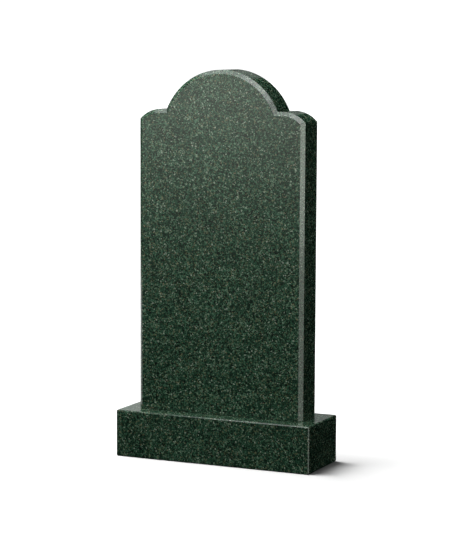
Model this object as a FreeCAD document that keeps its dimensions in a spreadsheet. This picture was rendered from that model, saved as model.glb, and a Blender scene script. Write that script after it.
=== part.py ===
import FreeCAD, Part
import os
import Sketcher

# A headstone: an upright granite tablet with curved shoulders and a domed head, standing by its
# own weight on a plain plinth of the same stone.
#
# Frame: +Z up, the tablet's face towards -Y, +X to the right of someone reading it. The origin is
# the middle of the plinth's underside. Millimetres.

SIZES = (
    ("tablet_width", 500.0, "across the straight sides"),
    ("tablet_height", 957.0, "from the foot to the top of the dome"),
    ("tablet_thickness", 95.0, "from the face to the back"),
    ("dome_radius", 182.0, "the round head, in the middle of the tablet"),
    ("shoulder_drop", 111.0, "from the top of the dome down to the shoulders"),
    ("shoulder_radius", 86.0, "the curve from each shoulder down to its side"),
    ("shoulder_inset", 64.0, "from each side in to the middle of that curve"),
    ("face_bevel", 11.0, "the 45 degree bevel round the face, on each leg"),
    ("tablet_arris", 1.5, "the flat taken off the edges of the foot and the back, on each leg"),
    ("plinth_width", 588.0, "left to right"),
    ("plinth_depth", 202.0, "front to back"),
    ("plinth_height", 132.0, "ground to the tablet's foot"),
    ("plinth_arris", 3.0, "the flat taken off every edge of the plinth, on each leg"),
)

# Sketcher's numbers for a line's two ends and for the sketch's own axes. The across axis starts
# at the sketch's origin.
START = 1
END = 2
ACROSS_AXIS = -1
UP_AXIS = -2

# How near an edge has to lie to a plane to count as being in it.
ON_PLANE = 1e-4

# The waste cut from a shoulder: how far out it reaches, as a share of the shoulder's radius, and
# how far it runs past the face and the back.
WASTE_REACH = 2
CUT_PAST = 5


def make_sheet(doc):
    """The driving sizes, one to a row: name, value, what it measures."""
    sheet = doc.addObject("Spreadsheet::Sheet", "Sizes")
    for row, (name, value, meaning) in enumerate(SIZES, start=1):
        sheet.set(f"A{row}", name)
        sheet.set(f"B{row}", str(value))
        sheet.set(f"C{row}", meaning)
        sheet.setAlias(f"B{row}", name)
    doc.recompute()
    return sheet


def origin_plane(body, role):
    """One of a body's own three planes."""
    return next(plane for plane in body.Origin.OriginFeatures if plane.Role == role)


def add_body(doc, name):
    body = doc.addObject("PartDesign::Body", name)
    body.Label = name
    return body


def add_sketch(body, name, role):
    """An empty sketch on one of the body's own planes."""
    sketch = body.newObject("Sketcher::SketchObject", name)
    sketch.AttachmentSupport = (origin_plane(body, role), [""])
    sketch.MapMode = "FlatFace"
    return sketch


def constrain(sketch, kind, *where):
    sketch.addConstraint(Sketcher.Constraint(kind, *where))


def dimension(sketch, name, formula, kind, *where):
    """A named dimension that takes its value from the sheet."""
    index = sketch.addConstraint(Sketcher.Constraint(kind, *where))
    sketch.renameConstraint(index, name)
    sketch.setExpression(f"Constraints.{name}", formula)


def line(start, end):
    return Part.LineSegment(FreeCAD.Vector(*start, 0), FreeCAD.Vector(*end, 0))


def polygon(sketch, corners):
    """Lines from corner to corner and back to the first. Returns the first line's number."""
    first = sketch.GeometryCount
    count = len(corners)
    for i in range(count):
        sketch.addGeometry(line(corners[i], corners[(i + 1) % count]), False)
    for i in range(count):
        constrain(sketch, "Coincident", first + i, END, first + (i + 1) % count, START)
    return first


def edges_where(feature, wanted):
    """Names of the feature's edges for which wanted(bounding box) is true."""
    edges = feature.Shape.Edges
    return [f"Edge{i}" for i, edge in enumerate(edges, start=1) if wanted(edge.BoundBox)]


def add_chamfer(body, name, base, edge_names, formula):
    """A 45 degree chamfer on some of the base's edges."""
    chamfer = body.newObject("PartDesign::Chamfer", name)
    chamfer.Base = (base, edge_names)
    chamfer.setExpression("Size", formula)
    body.Document.recompute()
    return chamfer


def draw_block(sketch, sheet):
    """The tablet up to its shoulders, before they are rounded: a rectangle on the across axis."""
    half = sheet.tablet_width / 2
    ledge = sheet.tablet_height - sheet.shoulder_drop
    foot = polygon(sketch, ((-half, 0), (half, 0), (half, ledge), (-half, ledge)))
    right, top, left = range(foot + 1, foot + 4)
    constrain(sketch, "Vertical", right)
    constrain(sketch, "Vertical", left)
    constrain(sketch, "Horizontal", top)
    constrain(sketch, "PointOnObject", foot, START, ACROSS_AXIS)
    constrain(sketch, "Symmetric", foot, START, foot, END, UP_AXIS)
    dimension(sketch, "width", "Sizes.tablet_width", "DistanceX", foot, START, foot, END, 2 * half)
    dimension(sketch, "ledge", "Sizes.tablet_height - Sizes.shoulder_drop",
              "DistanceY", right, START, right, END, ledge)


def draw_rim(sketch, sheet, radius_name, far_share, past):
    """A section to turn about the across axis. Its rim has the face's bevel in front and the
    tablet's arris behind. It fills from the rim to a far side, given as a share of the radius:
    0 is the axis, which makes a disc, and over 1 is outside, which makes the waste round a
    disc. Waste runs past the front and the back, so that it cuts clean through."""
    radius = getattr(sheet, radius_name)
    half = sheet.tablet_thickness / 2
    bevel = sheet.face_bevel
    arris = sheet.tablet_arris
    far = far_share * radius
    corners = (
        (-half - past, far),
        (-half - past, radius - bevel - past),
        (-half + bevel, radius),
        (half - arris, radius),
        (half + past, radius - arris - past),
        (half + past, far),
    )
    face = polygon(sketch, corners)
    front_bevel, rim, back_arris, rear, far_side = range(face + 1, face + 6)
    constrain(sketch, "Vertical", face)
    constrain(sketch, "Horizontal", rim)
    constrain(sketch, "Vertical", rear)
    constrain(sketch, "Symmetric", face, START, far_side, START, UP_AXIS)
    if far_share:
        dimension(sketch, "far", f"{far_share} * Sizes.{radius_name}",
                  "DistanceY", ACROSS_AXIS, START, face, START, far)
    else:
        constrain(sketch, "PointOnObject", face, START, ACROSS_AXIS)
    dimension(sketch, "thickness", f"Sizes.tablet_thickness + {2 * past}",
              "DistanceX", far_side, END, far_side, START, 2 * (half + past))
    dimension(sketch, "radius", f"Sizes.{radius_name}",
              "DistanceY", ACROSS_AXIS, START, rim, START, radius)
    for name, where in (("bevel_in", "DistanceX"), ("bevel_out", "DistanceY")):
        dimension(sketch, name, f"Sizes.face_bevel + {past}",
                  where, front_bevel, START, front_bevel, END, bevel + past)
    for name, where, first, second in (
        ("arris_in", "DistanceX", START, END),
        ("arris_out", "DistanceY", END, START),
    ):
        dimension(sketch, name, f"Sizes.tablet_arris + {past}",
                  where, back_arris, first, back_arris, second, arris + past)


def add_rim(body, sheet, name, kind, radius_name, far_share, past):
    """A rim's section in a plane that runs from front to back, and the feature that turns it
    about its own across axis. The caller places the sketch."""
    section = add_sketch(body, name + "Section", "YZ_Plane")
    draw_rim(section, sheet, radius_name, far_share, past)
    turned = body.newObject(kind, name)
    turned.Profile = section
    turned.ReferenceAxis = (section, ["H_Axis"])
    return section, turned


def round_shoulders(body, sheet):
    """Takes a quarter turn of waste off the right shoulder, and mirrors it to the left. The
    turn starts upright, where the curve leaves the ledge, and runs out through the side."""
    section, right = add_rim(
        body, sheet, "RightShoulder", "PartDesign::Groove", "shoulder_radius", WASTE_REACH, CUT_PAST)
    section.setExpression("AttachmentOffset.Base.z", "Sizes.tablet_width / 2 - Sizes.shoulder_inset")
    section.setExpression(
        "AttachmentOffset.Base.y",
        "Sizes.tablet_height - Sizes.shoulder_drop - Sizes.shoulder_radius")
    right.Angle = 90
    right.Reversed = False
    body.Document.recompute()
    left = body.newObject("PartDesign::Mirrored", "LeftShoulder")
    left.Originals = [right]
    left.MirrorPlane = (origin_plane(body, "YZ_Plane"), [""])
    body.Tip = left
    body.Document.recompute()


def add_dome(body, sheet):
    """The dome's whole disc, with its section hanging below the axis so that the disc's own
    seam is buried in the slab."""
    section, disc = add_rim(
        body, sheet, "Dome", "PartDesign::Revolution", "dome_radius", 0, 0)
    upside_down = FreeCAD.Rotation(FreeCAD.Vector(1, 0, 0), 180)
    section.AttachmentOffset = FreeCAD.Placement(FreeCAD.Vector(0, 0, 0), upside_down)
    section.setExpression("AttachmentOffset.Base.y", "Sizes.tablet_height - Sizes.dome_radius")
    disc.Angle = 360
    body.Tip = disc
    body.Document.recompute()


def make_tablet(doc, sheet):
    """A block is bevelled and its shoulders rounded, then the dome's bevelled disc joins it, so
    the bevels meet in true mitres. The body is drawn from its foot and lifted on to the
    plinth."""
    body = add_body(doc, "tablet")
    outline = add_sketch(body, "BlockOutline", "XZ_Plane")
    draw_block(outline, sheet)
    block = body.newObject("PartDesign::Pad", "Block")
    block.Profile = outline
    block.SideType = "Symmetric"
    block.setExpression("Length", "Sizes.tablet_thickness")
    doc.recompute()

    front = -sheet.tablet_thickness / 2
    back = sheet.tablet_thickness / 2
    face_edges = edges_where(block, lambda box: box.YMax < front + ON_PLANE and box.ZMax > ON_PLANE)
    bevel = add_chamfer(body, "FaceBevel", block, face_edges, "Sizes.face_bevel")
    foot_and_back = edges_where(
        bevel, lambda box: box.ZMax < ON_PLANE or box.YMin > back - ON_PLANE)
    arris = add_chamfer(body, "FootAndBackArris", bevel, foot_and_back, "Sizes.tablet_arris")

    before = arris.Shape.Volume
    round_shoulders(body, sheet)
    rounded = body.Tip.Shape.Volume
    add_dome(body, sheet)
    domed = body.Tip.Shape.Volume
    if not rounded < before or not domed > rounded:
        raise RuntimeError("the shoulders took nothing off, or the dome added nothing")
    body.setExpression("Placement.Base.z", "Sizes.plinth_height")
    return body


def draw_plan(sketch, sheet):
    """The plinth's plan: a rectangle about the origin."""
    half_width = sheet.plinth_width / 2
    half_depth = sheet.plinth_depth / 2
    corners = (
        (-half_width, -half_depth),
        (half_width, -half_depth),
        (half_width, half_depth),
        (-half_width, half_depth),
    )
    front = polygon(sketch, corners)
    right, back, left = range(front + 1, front + 4)
    constrain(sketch, "Horizontal", front)
    constrain(sketch, "Vertical", right)
    constrain(sketch, "Horizontal", back)
    constrain(sketch, "Vertical", left)
    constrain(sketch, "Symmetric", front, START, back, START, ACROSS_AXIS, START)
    dimension(sketch, "width", "Sizes.plinth_width",
              "DistanceX", front, START, front, END, 2 * half_width)
    dimension(sketch, "depth", "Sizes.plinth_depth",
              "DistanceY", right, START, right, END, 2 * half_depth)


def make_plinth(doc, sheet):
    """A sawn block with a narrow arris taken off every edge."""
    body = add_body(doc, "plinth")
    plan = add_sketch(body, "PlinthPlan", "XY_Plane")
    draw_plan(plan, sheet)
    block = body.newObject("PartDesign::Pad", "Block")
    block.Profile = plan
    block.setExpression("Length", "Sizes.plinth_height")
    doc.recompute()
    every_edge = edges_where(block, lambda box: True)
    body.Tip = add_chamfer(body, "PlinthArris", block, every_edge, "Sizes.plinth_arris")
    return body


def check(doc, bodies):
    """Stops on a feature that failed, a loose sketch, or a body that isn't one sound solid."""
    for item in doc.Objects:
        if {"Invalid", "Error"} & set(item.State):
            raise RuntimeError(f"{item.Name} failed: {item.State}")
        if item.isDerivedFrom("Sketcher::SketchObject") and not item.FullyConstrained:
            raise RuntimeError(f"{item.Name} isn't fully constrained")
    for body in bodies:
        shape = body.Shape
        if shape.isNull() or not shape.isValid() or len(shape.Solids) != 1:
            raise RuntimeError(f"{body.Label} isn't one sound solid")


def write(bodies):
    os.makedirs("parts", exist_ok=True)
    for body in bodies:
        body.Shape.exportStep(f"parts/{body.Label}.step")
        box = body.Shape.BoundBox
        size = f"{box.XLength:.1f} x {box.YLength:.1f} x {box.ZLength:.1f} mm"
        print(f"{body.Label}: {size}, its top at Z {box.ZMax:.1f}")


def main():
    doc = FreeCAD.newDocument("Headstone")
    sheet = make_sheet(doc)
    bodies = [make_tablet(doc, sheet), make_plinth(doc, sheet)]
    doc.recompute()
    check(doc, bodies)
    write(bodies)


main()
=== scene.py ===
# %% [markdown]
# # A polished granite headstone
#
# The real object is two pieces of one dark green stone. An upright tablet, with a round dome
# between two curved shoulders, stands by its own weight on a low plinth. Both are sawn from
# blocks, and then every face that shows is ground and polished until it mirrors the sky. What is
# left between the polished faces, the bevel round the tablet's front and the narrow arris on
# every other edge, is worked by hand and never gets quite the same shine.
#
# This lesson models the two pieces again at the size of the design, finer than the design needs
# them, and spends most of its work on the stone itself.

# %% Load the frame that the design gives
import bmesh
import bpy
import math
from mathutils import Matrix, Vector


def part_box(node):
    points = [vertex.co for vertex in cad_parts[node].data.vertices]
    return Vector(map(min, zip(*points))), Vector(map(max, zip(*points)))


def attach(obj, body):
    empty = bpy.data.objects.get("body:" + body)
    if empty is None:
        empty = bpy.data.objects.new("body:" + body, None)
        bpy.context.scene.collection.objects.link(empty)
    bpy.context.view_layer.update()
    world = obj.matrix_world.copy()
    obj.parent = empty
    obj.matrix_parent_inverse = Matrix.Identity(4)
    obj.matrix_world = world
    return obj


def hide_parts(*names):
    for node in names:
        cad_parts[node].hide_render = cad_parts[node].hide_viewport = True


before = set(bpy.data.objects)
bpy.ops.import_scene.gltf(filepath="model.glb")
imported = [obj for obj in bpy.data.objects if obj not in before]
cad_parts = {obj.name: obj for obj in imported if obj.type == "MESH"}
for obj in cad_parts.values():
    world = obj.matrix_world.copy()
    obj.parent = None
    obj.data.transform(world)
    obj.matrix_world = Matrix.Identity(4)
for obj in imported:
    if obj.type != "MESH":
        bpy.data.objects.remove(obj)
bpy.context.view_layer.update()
tablet_low, tablet_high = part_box("tablet")
plinth_low, plinth_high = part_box("plinth")

# %% [markdown]
# The frame says where each piece begins and ends, and in which plane its face lies, so the sizes
# of the blocks are read from it. The head's own sizes can't be read from a box: the dome's
# radius, the drop to the shoulders and the curve of each shoulder are the mason's template, and
# they are repeated here in metres. So is the tablet's height, since a box round the facets of a
# curve may stop just short of its top.

# %% Sizes
half_width = tablet_high.x
foot_height = tablet_low.z
face_depth = tablet_low.y
back_depth = tablet_high.y

tablet_height = 0.957
dome_radius = 0.182
shoulder_drop = 0.111
shoulder_radius = 0.086
shoulder_inset = 0.064
face_bevel = 0.011
tablet_arris = 0.0015
plinth_arris = 0.003
softened = 0.0005
corner_clearance = 0.006

top_height = plinth_high.z + tablet_height
dome_centre_height = top_height - dome_radius
ledge_height = top_height - shoulder_drop
curve_centre_height = ledge_height - shoulder_radius
curve_centre_reach = half_width - shoulder_inset
print("foot, ledge and top stand at", [
    round(level, 4) for level in (foot_height, ledge_height, top_height)])

# %% [markdown]
# ## Working in edit mode from a script
#
# By hand, one clicks on what the next tool should change. In a script the same choice is made by
# a question about each vertex, edge or face: is it on the face, is it at the foot? The answer
# depends only on place, so it stays right when a size changes.

# %% Helpers for choosing
CLOSE = 1e-5


def near(first, second):
    return abs(first - second) < CLOSE


def deselect_all():
    bpy.ops.object.select_all(action="DESELECT")


def choose(kind, wanted):
    """In edit mode, selects the vertices, edges or faces that answer the question."""
    bpy.ops.mesh.select_mode(type=kind)
    bpy.ops.mesh.select_all(action="DESELECT")
    mesh = bmesh.from_edit_mesh(bpy.context.edit_object.data)
    items = {"VERT": mesh.verts, "EDGE": mesh.edges, "FACE": mesh.faces}[kind]
    chosen = [item for item in items if wanted(item)]
    for item in chosen:
        item.select_set(True)
    mesh.select_flush_mode()
    bmesh.update_edit_mesh(bpy.context.edit_object.data)
    return len(chosen)


def all_at(item, axis, place):
    """Whether every vertex of an edge or a face lies at one place along an axis."""
    return all(near(vertex.co[axis], place) for vertex in item.verts)


print("two places count as one when they are within", CLOSE * 1000, "mm")


# %% [markdown]
# ## The tablet's outline
#
# A mason marks out the head with a compass, and so does this step. Circles go down where the
# template puts their centres, and bisect trims each one to the arc that is wanted. Only the right
# half is drawn. Bisect leaves a vertex exactly where an arc meets the next line, which a spin of
# equal steps would miss.

# %% Arcs of the dome and the right shoulder
CIRCLE_POINTS = 288


def trim(place, direction):
    """Cuts what is selected by a plane, and removes what lies against its direction."""
    bpy.ops.mesh.select_mode(type="VERT")
    bpy.ops.mesh.bisect(
        plane_co=place, plane_no=direction, use_fill=False, clear_inner=True, threshold=CLOSE)


def add_circle(reach, height, radius):
    bpy.ops.mesh.primitive_circle_add(
        vertices=CIRCLE_POINTS, radius=radius, fill_type="NOTHING",
        location=(reach, face_depth, height), rotation=(math.pi / 2, 0, 0))


deselect_all()
add_circle(0, dome_centre_height, dome_radius)
tablet = bpy.context.object
tablet.name = "carved_tablet"
bpy.ops.object.transform_apply(location=True, rotation=True, scale=True)
bpy.ops.object.mode_set(mode="EDIT")
bpy.ops.mesh.select_all(action="SELECT")
trim((0, face_depth, ledge_height), (0, 0, 1))
bpy.ops.mesh.select_all(action="SELECT")
trim((0, face_depth, 0), (1, 0, 0))


def in_shoulder(vertex):
    return vertex.co.x > curve_centre_reach - CLOSE


add_circle(curve_centre_reach, curve_centre_height, shoulder_radius)
trim((curve_centre_reach, face_depth, 0), (1, 0, 0))
choose("VERT", in_shoulder)
trim((half_width, face_depth, 0), (-1, 0, 0))
choose("VERT", in_shoulder)
trim((0, face_depth, curve_centre_height), (0, 0, 1))
print("points in the two arcs:", choose("VERT", lambda vertex: True))

# %% [markdown]
# The straight lines come next. The ledge joins the ends of the two arcs. The side and the foot
# are drawn by extruding one vertex, down to the foot and in to the middle. A mirror modifier then
# gives the left half, so the two shoulders can't differ. Where the shoulder's curve meets the side
# the bevel will eat a few millimetres of both, so the short steps of the curve that lie within
# that reach are taken out first. Otherwise their bevels would cross and fold over.

# %% Ledge, side and foot, then the left half
print("ends of the ledge:", choose("VERT", lambda vertex: near(vertex.co.z, ledge_height)))
bpy.ops.mesh.edge_face_add()


def extrude_point(where, shift):
    """Draws a line from the vertex that is chosen."""
    choose("VERT", where)
    bpy.ops.mesh.extrude_vertices_move(TRANSFORM_OT_translate={"value": shift})


corner_height = min(vertex.co.z for vertex in bmesh.from_edit_mesh(tablet.data).verts)
print("the side ends", round(top_height - corner_height, 4), "m below the top")
corner = Vector((half_width, face_depth, corner_height))
print("points taken from the shoulder's end:", choose(
    "VERT", lambda vertex: CLOSE < (vertex.co - corner).length < corner_clearance))
bpy.ops.mesh.dissolve_verts()
extrude_point(
    lambda vertex: near(vertex.co.x, half_width) and near(vertex.co.z, corner_height),
    (0, 0, foot_height - corner_height))
extrude_point(
    lambda vertex: near(vertex.co.x, half_width) and near(vertex.co.z, foot_height),
    (-half_width, 0, 0))
bpy.ops.object.mode_set(mode="OBJECT")


def apply_modifier(piece, kind, **settings):
    """Adds a modifier to the piece, sets it and applies it."""
    modifier = piece.modifiers.new(kind.title(), kind)
    for name, value in settings.items():
        setattr(modifier, name, value)
    bpy.context.view_layer.objects.active = piece
    bpy.ops.object.modifier_apply(modifier=modifier.name)


apply_modifier(tablet, "MIRROR", merge_threshold=CLOSE)
print("points in the whole outline:", len(tablet.data.vertices))

# %% [markdown]
# ## From outline to slab
#
# The outline is filled with one face and extruded to the tablet's thickness. One large flat face
# is what polished stone needs: any edge inside it could only bend a reflection.

# %% Fill, extrude and turn every face outwards
def face_outwards():
    bpy.ops.mesh.select_all(action="SELECT")
    bpy.ops.mesh.remove_doubles(threshold=CLOSE)
    bpy.ops.mesh.normals_make_consistent(inside=False)


bpy.ops.object.mode_set(mode="EDIT")
bpy.ops.mesh.select_all(action="SELECT")
bpy.ops.mesh.edge_face_add()
bpy.ops.mesh.extrude_region_move(
    TRANSFORM_OT_translate={"value": (0, back_depth - face_depth, 0)})
face_outwards()
print("the slab is", round(back_depth - face_depth, 4), "m thick")

# %% [markdown]
# ## The bevel and the arrises
#
# The wide bevel runs round the front of the sides, the shoulders and the dome, and stops at the
# foot, where the tablet stands on the plinth. The bevel tool finds the true mitre in each inner
# corner, where a mason has to work with a chisel. The foot and the back get only an arris, a
# narrow flat that keeps a polished edge from chipping.

# %% Cut them
def flatten(width):
    """Bevels the chosen edges with one flat."""
    bpy.ops.mesh.bevel(
        offset_type="OFFSET", offset=width, segments=1, affect="EDGES", clamp_overlap=False)


print("edges to bevel:", choose("EDGE", lambda edge: all_at(edge, 1, face_depth)
                                and not all_at(edge, 2, foot_height)))
flatten(face_bevel)
print("edges of the foot and back:", choose("EDGE", lambda edge: all_at(edge, 1, back_depth)
                                            or all_at(edge, 2, foot_height)))
flatten(tablet_arris)
face_outwards()
bpy.ops.object.mode_set(mode="OBJECT")
print("faces in the tablet:", len(tablet.data.polygons))

# %% [markdown]
# ## The plinth
#
# The plinth is a sawn block. It starts as a cube at the frame's size, and all twelve of its edges
# lose a wider arris than the tablet's, since it is the piece that gets knocked.

# %% Cut the plinth
deselect_all()
bpy.ops.mesh.primitive_cube_add(
    size=1, location=(plinth_low + plinth_high) / 2, scale=plinth_high - plinth_low)
plinth = bpy.context.object
plinth.name = "plinth_block"
bpy.ops.object.transform_apply(location=True, rotation=True, scale=True)
bpy.ops.object.mode_set(mode="EDIT")
bpy.ops.mesh.select_all(action="SELECT")
flatten(plinth_arris)
face_outwards()
bpy.ops.object.mode_set(mode="OBJECT")
print("faces in the plinth:", len(plinth.data.polygons))

# %% [markdown]
# ## Which face has which finish
#
# Three finishes meet on each piece. Polished faces are the default. Honed ones are the bevel and
# the arrises, whose normals lean between two of the piece's main directions. Sawn ones face down:
# the plinth's underside and the tablet's foot, which nobody sees once the stone is set.

# %% Number the faces by finish
POLISHED, HONED, SAWN = range(3)
LEANING = 0.05


def leans(face):
    """Whether a face is a bevel or an arris: it faces partly forward, back or down."""
    forward = abs(face.normal.y)
    down = -face.normal.z
    return LEANING < forward < 1 - LEANING or LEANING < down < 1 - LEANING


def is_arris(face):
    """The same for a block, where every face that isn't square to the axes is an arris."""
    return max(map(abs, face.normal)) < 1 - LEANING


def set_finishes(piece, worked_by_hand):
    counts = [0, 0, 0]
    for face in piece.data.polygons:
        face.material_index = POLISHED
        if worked_by_hand(face):
            face.material_index = HONED
        elif face.normal.z < -1 + LEANING:
            face.material_index = SAWN
        counts[face.material_index] += 1
    print(piece.name, "has", counts, "polished, honed and sawn faces")


for piece in (tablet, plinth):
    for name in ("polished", "honed", "sawn"):
        piece.data.materials.append(bpy.data.materials.new(f"{piece.name}_{name}"))
set_finishes(tablet, leans)
set_finishes(plinth, is_arris)

# %% [markdown]
# ## Edges that catch the light
#
# No stone edge is perfectly sharp. A bevel modifier rounds every edge that is left by half a
# millimetre, and a weighted normal modifier gives the shading back to the large faces, so that
# they stay dead flat and only the thin rounded strips turn the light.

# %% Soften and shade
SHARP_ANGLE = math.radians(35)
ROUNDING_STEPS = 2

for piece in (tablet, plinth):
    deselect_all()
    piece.select_set(True)
    apply_modifier(piece, "BEVEL", width=softened, segments=ROUNDING_STEPS,
                   limit_method="ANGLE", angle_limit=SHARP_ANGLE, material=HONED,
                   use_clamp_overlap=False)
    bpy.ops.object.shade_smooth()
    apply_modifier(piece, "WEIGHTED_NORMAL", mode="FACE_AREA", weight=100, thresh=CLOSE)
    print(piece.name, "has", len(piece.data.polygons), "faces after softening")

# %% [markdown]
# ## Writing shader nodes
#
# A material is a tree of nodes. One helper adds a node, sets its options, and either fills an
# input with a number or links it to another node's output. That keeps each line about the stone.
# A second one makes an empty node group, and a third fills a colour ramp.

# %% The node helpers
def add(tree, kind, inputs, **options):
    """Adds a shader node and returns it. An input is named, or counted from 0."""
    node = tree.nodes.new("ShaderNode" + kind)
    for name, value in options.items():
        setattr(node, name, value)
    for name, value in inputs.items():
        if isinstance(value, bpy.types.NodeSocket):
            tree.links.new(value, node.inputs[name])
        else:
            node.inputs[name].default_value = value
    return node


def new_group(name, inputs, outputs):
    """Makes an empty node group with named sockets. Returns the tree and its two end nodes."""
    tree = bpy.data.node_groups.new(name, "ShaderNodeTree")
    for direction, sockets in (("INPUT", inputs), ("OUTPUT", outputs)):
        for label, kind in sockets.items():
            tree.interface.new_socket(
                name=label, in_out=direction, socket_type="NodeSocket" + kind)
    return tree, tree.nodes.new("NodeGroupInput"), tree.nodes.new("NodeGroupOutput")


def fill_ramp(ramp, stops):
    """Gives a colour ramp its stops, each a place from 0 to 1 and a colour."""
    steps = ramp.color_ramp.elements
    while len(steps) < len(stops):
        steps.new(0.5)
    for step, (place, colour) in zip(steps, stops):
        step.position = place
        step.color = (*colour, 1)


# %% [markdown]
# ## The stone
#
# Granite is a solid mass of crystals that grew until they met, so the pattern is one of cells
# with no space between them. Voronoi texture is just that. Its cells have straight walls and
# crystals don't, so the place where it is read is first shaken by noise. Each cell has a random
# colour, and its red part picks a mineral from a ramp with hard steps: much dark green and nearly
# black, some grey green feldspar, and a few pale or tan crystals. The texture is three
# dimensional, so it runs through the stone and round every edge, as in a real block.

# %% The minerals, from the commonest to the rarest
MINERALS = (
    (0.31, (0.0041, 0.0127, 0.0073)),
    (0.23, (0.0098, 0.0325, 0.0190)),
    (0.20, (0.0225, 0.0660, 0.0380)),
    (0.115, (0.0560, 0.1230, 0.0770)),
    (0.04, (0.0850, 0.1000, 0.0520)),
    (0.065, (0.1230, 0.1900, 0.1280)),
    (0.02, (0.1550, 0.1500, 0.0920)),
    (0.02, (0.2600, 0.3100, 0.2450)),
)


def mineral_ramp(tree, factor):
    """A colour ramp with one hard step for each mineral, as wide as its share."""
    ramp = add(tree, "ValToRGB", {"Fac": factor})
    ramp.color_ramp.interpolation = "CONSTANT"
    start = 0
    stops = []
    for share, colour in MINERALS:
        stops.append((start, colour))
        start += share
    fill_ramp(ramp, stops)
    print("the ramp ends at", round(start, 3), "and should end at 1")
    return ramp


# %% The crystals as a node group
SHAKE_SCALE = 330
SHAKE_REACH = 0.006

crystals, given, result = new_group(
    "granite_crystals",
    {"Position": "Vector", "Crystals per Metre": "Float"},
    {"Colour": "Color", "Grain": "Float", "Relief": "Float"})

shake = add(crystals, "TexNoise", {
    "Vector": given.outputs["Position"], "Scale": SHAKE_SCALE, "Detail": 2,
    "Roughness": 0.6})
centred_shake = add(crystals, "VectorMath", {
    0: shake.outputs["Color"], 1: (0.5, 0.5, 0.5)}, operation="SUBTRACT")
small_shake = add(crystals, "VectorMath", {
    0: centred_shake.outputs["Vector"], "Scale": SHAKE_REACH}, operation="SCALE")
shaken = add(crystals, "VectorMath", {
    0: given.outputs["Position"], 1: small_shake.outputs["Vector"]}, operation="ADD")
cells = add(crystals, "TexVoronoi", {
    "Vector": shaken.outputs["Vector"], "Scale": given.outputs["Crystals per Metre"],
    "Randomness": 1})
cell_numbers = add(crystals, "SeparateColor", {"Color": cells.outputs["Color"]})
minerals = mineral_ramp(crystals, cell_numbers.outputs["Red"])

# %% [markdown]
# Two smaller effects keep the pattern from looking like tiles. Inside a crystal the colour drifts
# and holds fine flecks, and over a hand's width the whole stone turns a little lighter and
# darker, where the melt was richer in one mineral. Noise seldom leaves the middle of its range,
# so that middle is stretched to the darkest and the lightest that each effect may reach.

# %% Flecks inside the crystals, and clouds over the stone
NOISE_MIDDLE = (0.3, 0.7)
FLECK_SCALE = 900
FLECK_LIGHT = (0.45, 1.6)
CLOUD_SCALE = 9
CLOUD_LIGHT = (0.88, 1.14)


def noise_light(noise, light_range):
    """Turns noise into a number that the colour is multiplied by."""
    return add(crystals, "MapRange", {
        "Value": noise.outputs["Fac"], "From Min": NOISE_MIDDLE[0],
        "From Max": NOISE_MIDDLE[1], "To Min": light_range[0], "To Max": light_range[1]})


flecks = add(crystals, "TexNoise", {
    "Vector": given.outputs["Position"], "Scale": FLECK_SCALE, "Detail": 3,
    "Roughness": 0.7})
clouds = add(crystals, "TexNoise", {
    "Vector": given.outputs["Position"], "Scale": CLOUD_SCALE, "Detail": 4,
    "Roughness": 0.6})
fleck_light = noise_light(flecks, FLECK_LIGHT)
cloud_light = noise_light(clouds, CLOUD_LIGHT)
light = add(crystals, "Math", {
    0: fleck_light.outputs["Result"], 1: cloud_light.outputs["Result"]}, operation="MULTIPLY")
stone_colour = add(crystals, "VectorMath", {
    0: minerals.outputs["Color"], "Scale": light.outputs["Value"]}, operation="SCALE")
relief = add(crystals, "Math", {
    0: cell_numbers.outputs["Green"], 1: flecks.outputs["Fac"]}, operation="ADD")
for socket, value in (
        ("Colour", stone_colour.outputs["Vector"]),
        ("Grain", cell_numbers.outputs["Blue"]),
        ("Relief", relief.outputs["Value"])):
    crystals.links.new(value, result.inputs[socket])
print("the crystals are made of", len(crystals.nodes), "nodes")

# %% [markdown]
# ## Three finishes of one stone
#
# Polishing closes the surface, so light goes in and the colour comes back deep and dark. A honed
# or sawn surface scatters light before it reaches the crystals, so it looks paler and duller. A
# finish is therefore a lightness that the colour is multiplied by, a veil of grey over it, a
# roughness that changes from crystal to crystal, and the height in metres of the relief that the
# tool left. The bevel is honed so finely that its veil is thin and its colour hardly changes.

# %% The finishes
CRYSTALS_PER_METRE = 365
VEIL_COLOUR = (0.20, 0.23, 0.20, 1)
FINISHES = {
    "polished": {
        "lightness": 1.0, "veil": 0.0, "smoothest": 0.06, "roughest": 0.14, "relief": 0.00001},
    "honed": {
        "lightness": 0.95, "veil": 0.02, "smoothest": 0.10, "roughest": 0.22, "relief": 0.00006},
    "sawn": {
        "lightness": 1.5, "veil": 0.45, "smoothest": 0.55, "roughest": 0.75, "relief": 0.00040},
}
GRANITE_IOR = 1.56
print("the finishes are", ", ".join(FINISHES))


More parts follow.
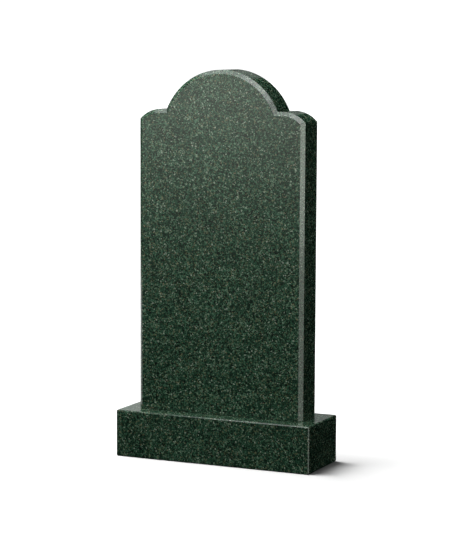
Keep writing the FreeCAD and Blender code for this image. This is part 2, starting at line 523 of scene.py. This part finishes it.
def make_granite(material, finish, shift, turn):
    """Fills a material with the stone in one finish, cut from its own place in the block."""
    values = FINISHES[finish]
    material.use_nodes = True
    tree = material.node_tree
    tree.nodes.clear()
    place = add(tree, "TexCoord", {})
    moved = add(tree, "Mapping", {
        "Vector": place.outputs["Object"], "Location": shift, "Rotation": turn})
    stone = add(tree, "Group", {}, node_tree=crystals)
    tree.links.new(moved.outputs["Vector"], stone.inputs["Position"])
    stone.inputs["Crystals per Metre"].default_value = CRYSTALS_PER_METRE
    lit = add(tree, "VectorMath", {
        0: stone.outputs["Colour"], "Scale": values["lightness"]}, operation="SCALE")
    veiled = add(tree, "MixRGB", {
        "Fac": values["veil"], "Color1": lit.outputs["Vector"], "Color2": VEIL_COLOUR})
    roughness = add(tree, "MapRange", {
        "Value": stone.outputs["Grain"], "To Min": values["smoothest"],
        "To Max": values["roughest"]})
    bump = add(tree, "Bump", {
        "Height": stone.outputs["Relief"], "Distance": values["relief"], "Strength": 1})
    surface = add(tree, "BsdfPrincipled", {
        "Base Color": veiled.outputs["Color"], "Roughness": roughness.outputs["Result"],
        "Normal": bump.outputs["Normal"], "IOR": GRANITE_IOR})
    output = add(tree, "OutputMaterial", {"Surface": surface.outputs["BSDF"]})
    output.is_active_output = True


# %% [markdown]
# The plinth comes from another part of the block than the tablet, and was turned before it was
# cut. A Mapping node moves and turns the pattern for it, so that the two never line up.

# %% Give each piece its stone
BLOCK_PLACES = {
    tablet: ((0.3, 0.1, 0.7), (0.4, 0.2, 0.1)),
    plinth: ((1.9, 0.6, 1.3), (1.1, 0.5, 2.0)),
}
for piece, (shift, turn) in BLOCK_PLACES.items():
    for material, finish in zip(piece.data.materials, FINISHES):
        make_granite(material, finish, shift, turn)
        print(material.name, "is made of", len(material.node_tree.nodes), "nodes")

# %% [markdown]
# ## Standing in for the design
#
# Each piece takes the place of the design's own solid and moves with it. The tablet only rests on
# the plinth, so both belong to the one body that there is.

# %% Tie the pieces to the design
for piece, node, slot in (
        (tablet, "tablet", "tablet_granite"),
        (plinth, "plinth", "plinth_granite")):
    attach(piece, "root")
    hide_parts(node)
    print(piece.name, "stands in for the design's", node)

# %% [markdown]
# ## The studio
#
# Polished stone shows its surroundings, so the room decides how it looks. The floor and the
# background look white, and only the camera sees them: what the stone mirrors is placed on
# purpose, one light for each part of it. The floor's own colour is a middle grey that a strong
# light whitens, because what little light comes from elsewhere then hardly fills its shadow.

# %% A white floor that is seen but not mirrored
FLOOR_SIZE = 60
FLOOR_GREY = (0.35, 0.35, 0.35, 1)

deselect_all()
bpy.ops.mesh.primitive_plane_add(size=FLOOR_SIZE, location=(0, 0, 0))
floor = bpy.context.object
floor.name = "studio_floor"
floor_paint = bpy.data.materials.new("white_floor")
floor_paint.use_nodes = True
floor_surface = floor_paint.node_tree.nodes["Principled BSDF"]
floor_surface.inputs["Base Color"].default_value = FLOOR_GREY
floor_surface.inputs["Roughness"].default_value = 1
floor_surface.inputs["Specular IOR Level"].default_value = 0
floor.data.materials.append(floor_paint)
floor.visible_glossy = False
floor.visible_diffuse = False
floor.visible_shadow = False
bpy.context.scene.view_settings.view_transform = "Standard"
print("the floor is", FLOOR_SIZE, "m across")

# %% [markdown]
# The world is made of directions, not of things, so a colour ramp over the height of a direction
# paints it. The main feature is one bright band low in front, like a lit wall seen over the far
# edge of a table. The tablet's face mirrors that band near its top, and what is below the band
# near its foot, so the face darkens downwards. To the sides the band fades away.

# %% The bright band
BAND_TOWARDS = (-0.42, -0.91, 0.0)
BAND_TINT = (0.96, 1.01, 0.90)
BAND_HEIGHTS = (
    (-0.160, 0.00), (-0.125, 0.03), (-0.098, 0.18), (-0.070, 0.70),
    (-0.037, 1.80), (0.000, 1.90), (0.060, 0.60), (0.200, 0.00))
BAND_FADES = (0.70, 0.95)

world = bpy.data.worlds.new("studio")
bpy.context.scene.world = world
world.use_nodes = True
room = world.node_tree
room.nodes.clear()
direction = add(room, "TexCoord", {})
height = add(room, "SeparateXYZ", {"Vector": direction.outputs["Generated"]})
band_foot, band_top = BAND_HEIGHTS[0][0], BAND_HEIGHTS[-1][0]
height_share = add(room, "MapRange", {
    "Value": height.outputs["Z"], "From Min": band_foot, "From Max": band_top})
band = add(room, "ValToRGB", {"Fac": height_share.outputs["Result"]})
fill_ramp(band, [
    ((level - band_foot) / (band_top - band_foot), [part * brightness for part in BAND_TINT])
    for level, brightness in BAND_HEIGHTS])
ahead = add(room, "VectorMath", {
    0: direction.outputs["Generated"], 1: BAND_TOWARDS}, operation="DOT_PRODUCT")
ahead_share = add(room, "MapRange", {
    "Value": ahead.outputs["Value"], "From Min": BAND_FADES[0],
    "From Max": BAND_FADES[1]}, interpolation_type="SMOOTHSTEP")
band_light = add(room, "VectorMath", {
    0: band.outputs["Color"], "Scale": ahead_share.outputs["Result"]}, operation="SCALE")
print("the band lies between the heights", band_foot, "and", band_top)

# %% [markdown]
# The rest of the room is black walls that turn into a dim pale ceiling high overhead. The camera
# sees none of it: for its rays the world is plain white, a little over full brightness so that
# it runs into the floor without a line.

# %% The ceiling, and the white that the camera sees
CEILING_STARTS = 0.5
CEILING_LIGHT = 0.5
CAMERA_WHITE = 1.1

ceiling_light = add(room, "MapRange", {
    "Value": height.outputs["Z"], "From Min": CEILING_STARTS, "From Max": 1.0,
    "To Min": 0.0, "To Max": CEILING_LIGHT})
room_light = add(room, "VectorMath", {
    0: band_light.outputs["Vector"], 1: ceiling_light.outputs["Result"]}, operation="ADD")
seen_by_stone = add(room, "Background", {"Color": room_light.outputs["Vector"]})
seen_by_camera = add(room, "Background", {
    "Color": (1, 1, 1, 1), "Strength": CAMERA_WHITE})
who_looks = add(room, "LightPath", {})
either = add(room, "MixShader", {
    0: who_looks.outputs["Is Camera Ray"], 1: seen_by_stone.outputs["Background"],
    2: seen_by_camera.outputs["Background"]})
add(room, "OutputWorld", {"Surface": either.outputs["Shader"]})
print("the room is made of", len(room.nodes), "nodes")

# %% [markdown]
# The lights are soft cards, each aimed at the stone. A card's brightness to the eye is its power
# shared over its area, so a helper works the power out and the numbers below stay brightnesses.
# A card may also be kept out of the even light and only be mirrored.

# %% The card helper
MIDDLE = Vector((0, 0, 0.55))
WHITE = (1, 1, 1)


def hang_card(name, towards, distance, width, height, brightness, mirrored_only=False,
              colour=WHITE):
    """Hangs a soft card in a direction from the stone's middle, facing it."""
    data = bpy.data.lights.new(name, "AREA")
    data.shape = "RECTANGLE"
    data.size = width
    data.size_y = height
    data.energy = brightness * width * height * math.pi
    data.color = colour
    card = bpy.data.objects.new(name, data)
    bpy.context.scene.collection.objects.link(card)
    offset = Vector(towards).normalized() * distance
    card.location = MIDDLE + offset
    card.rotation_euler = offset.to_track_quat("Z", "Y").to_euler()
    card.visible_camera = False
    card.visible_diffuse = not mirrored_only
    print(name, "has", round(data.energy, 1), "W")
    return card


# %% [markdown]
# Most cards are only mirrored, like sheets of white paper held round the stone. Each hangs where
# one part of the stone sends the eye of this camera, and a comment says which part. Three more,
# the key and two fills, light the crystals themselves.

# %% Hang the cards
PALE_GREEN = (0.90, 1.0, 0.88)
# Each row: name, direction, distance, width, height, brightness, colour.
MIRRORED_CARDS = (
    # The upright bevel on the right.
    ("right_strip", (2.0, -0.93, 0.45), 2.25, 0.7, 1.2, 5.6, PALE_GREEN),
    ("low_right_strip", (2.0, -0.93, -0.70), 2.3, 0.7, 1.2, 2.05, PALE_GREEN),
    # The bevel over the dome and the shoulders, at its top and down to the right.
    ("high_right", (0.84, -0.64, 2.23), 2.47, 1.0, 1.7, 5.0, WHITE),
    ("overhead", (-0.55, -0.15, 1.95), 2.05, 1.3, 1.3, 2.4, WHITE),
    ("upper_right", (1.88, -0.94, 1.39), 2.52, 0.8, 0.9, 3.5, WHITE),
    # The bevel on the left, first round the dome and then down the side.
    ("left_glow", (-0.906, 0.209, 0.42), 2.5, 1.2, 0.8, 0.12, WHITE),
    ("low_left_glow", (-0.90, 0.42, -0.28), 2.5, 1.2, 0.7, 0.7, WHITE),
    # The plinth's top.
    ("back_left", (-2.2, 2.9, 0.25), 3.65, 1.8, 1.2, 0.51, WHITE),
    ("back_middle", (-0.8, 2.9, 0.25), 3.0, 1.0, 1.2, 0.27, WHITE),
    # The upper faces of the dome and the right shoulder.
    ("back_high", (-1.15, 2.7, 1.40), 3.2, 1.3, 0.8, 0.20, WHITE),
)

key = hang_card("key", (-0.40, -1.10, 1.35), 1.60, 1.0, 1.0, 6.5)
for *placing, colour in MIRRORED_CARDS:
    hang_card(*placing, mirrored_only=True, colour=colour)
right_fill = hang_card("right_fill", (1.25, 0.1, 0.20), 1.27, 0.5, 0.8, 2.0)
back_fill = hang_card("back_fill", (-0.4, 0.9, 0.45), 3.0, 1.6, 1.6, 3.0)

# %% [markdown]
# Light linking gives each light its own things to shine on. The three that shape the stone are
# kept off the floor, and out of the polish too, where they would show as bright squares.

# %% What the shaping lights shine on
stone_only = bpy.data.collections.new("stone_only")
for piece in (tablet, plinth):
    stone_only.objects.link(piece)
for card in (key, right_fill, back_fill):
    card.light_linking.receiver_collection = stone_only
    card.visible_glossy = False

# %% [markdown]
# Two wide discs overhead, both leaning to the left, stand for the sky. One shines on the stone
# from a wide part of the sky. The other shines on the floor from a part half as wide. It whitens
# the floor as far as the eye goes and leaves a short soft shadow along the plinth's right side.

# %% The sky light
def hang_sky(name, strength, across, towards, receivers):
    """Hangs a wide disc of even light so far away that it shines alike everywhere."""
    data = bpy.data.lights.new(name, "SUN")
    data.energy = strength
    data.angle = math.radians(across)
    disc = bpy.data.objects.new(name, data)
    bpy.context.scene.collection.objects.link(disc)
    disc.rotation_euler = Vector(towards).to_track_quat("Z", "Y").to_euler()
    disc.light_linking.receiver_collection = receivers
    disc.visible_glossy = False


floor_only = bpy.data.collections.new("floor_only")
floor_only.objects.link(floor)
hang_sky("sky_on_stone", 3.75, 78, (-0.50, 0.03, 0.87), stone_only)
hang_sky("sky_on_floor", 12.6, 38, (-0.40, -0.03, 0.91), floor_only)
print("lights in the room:", len(bpy.data.lights))

# %% [markdown]
# ## The camera
#
# A long lens from six metres keeps the upright edges nearly parallel. The camera stands about 25
# degrees round to the right and looks down a little.

# %% Place the camera
CAMERA_ROUND = math.radians(24.76)
CAMERA_UP = math.radians(6.87)
CAMERA_ROLL = math.radians(0.24)
CAMERA_DISTANCE = 5.9585
LENS = 143.46
AIM = Vector((0.0061, 0, 0.5365))

camera_data = bpy.data.cameras.new("camera")
camera_data.lens = LENS
camera = bpy.data.objects.new("camera", camera_data)
bpy.context.scene.collection.objects.link(camera)
back = Vector((
    math.sin(CAMERA_ROUND) * math.cos(CAMERA_UP),
    -math.cos(CAMERA_ROUND) * math.cos(CAMERA_UP),
    math.sin(CAMERA_UP)))
camera.location = AIM + back * CAMERA_DISTANCE
camera.rotation_euler = back.to_track_quat("Z", "Y").to_euler()
camera.rotation_euler.rotate_axis("Z", CAMERA_ROLL)
bpy.context.scene.camera = camera
print("the camera stands at", [round(part, 3) for part in camera.location])
